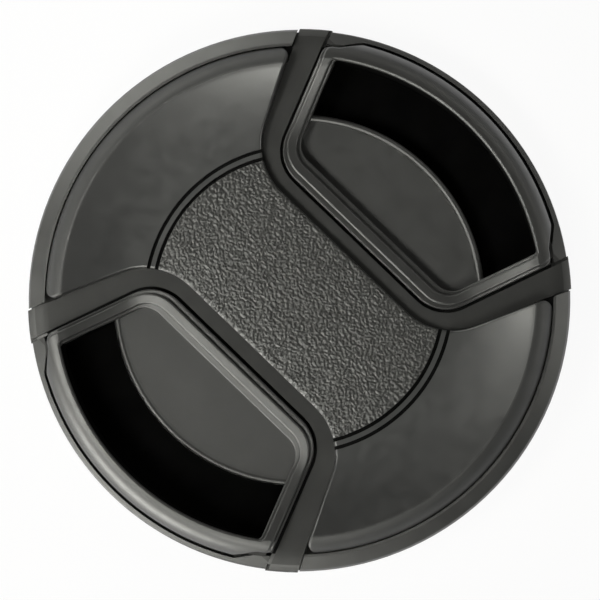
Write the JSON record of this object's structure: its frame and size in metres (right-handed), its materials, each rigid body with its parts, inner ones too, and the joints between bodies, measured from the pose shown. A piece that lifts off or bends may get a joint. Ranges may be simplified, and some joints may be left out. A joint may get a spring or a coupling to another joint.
{
  "type": "camera lens cap",
  "caption": "Round black plastic lens cap with sprung centre-pinch levers, finger wells, smooth dished panels and a grained centre pad",
  "frame": {"origin": "centre of the cap's axis, on the plane of the back edge that it rests on", "axes": "+Z out of the front, +X the way the right lever slides out, +Y across the levers"},
  "size_m": [0.06, 0.06, 0.0085],
  "materials": {
    "body_plastic": "satin moulded black",
    "cover_plastic": "satin moulded black, grained pad",
    "lever_plastic": "satin moulded black",
    "spring_steel": "drawn wire"
  },
  "bodies": {
    "cap": {"cap_body": "body_plastic", "front_cover": "cover_plastic", "return_spring_front": "spring_steel", "return_spring_rear": "spring_steel"},
    "right_lever": {"pinch_lever_right": "lever_plastic"},
    "left_lever": {"pinch_lever_left": "lever_plastic"}
  },
  "joints": [
    {"name": "right_lever_press", "type": "slide", "parent": "cap", "child": "right_lever", "axis": [-1, 0, 0], "range_m": [0, 0.0016], "stiffness_N_per_m": 800, "springref_m": -0.003, "deforming": ["return_spring_front", "return_spring_rear"]},
    {"name": "left_lever_press", "type": "slide", "parent": "cap", "child": "left_lever", "axis": [1, 0, 0], "range_m": [0, 0.0016], "stiffness_N_per_m": 800, "springref_m": -0.003, "deforming": ["return_spring_front", "return_spring_rear"]}
  ]
}
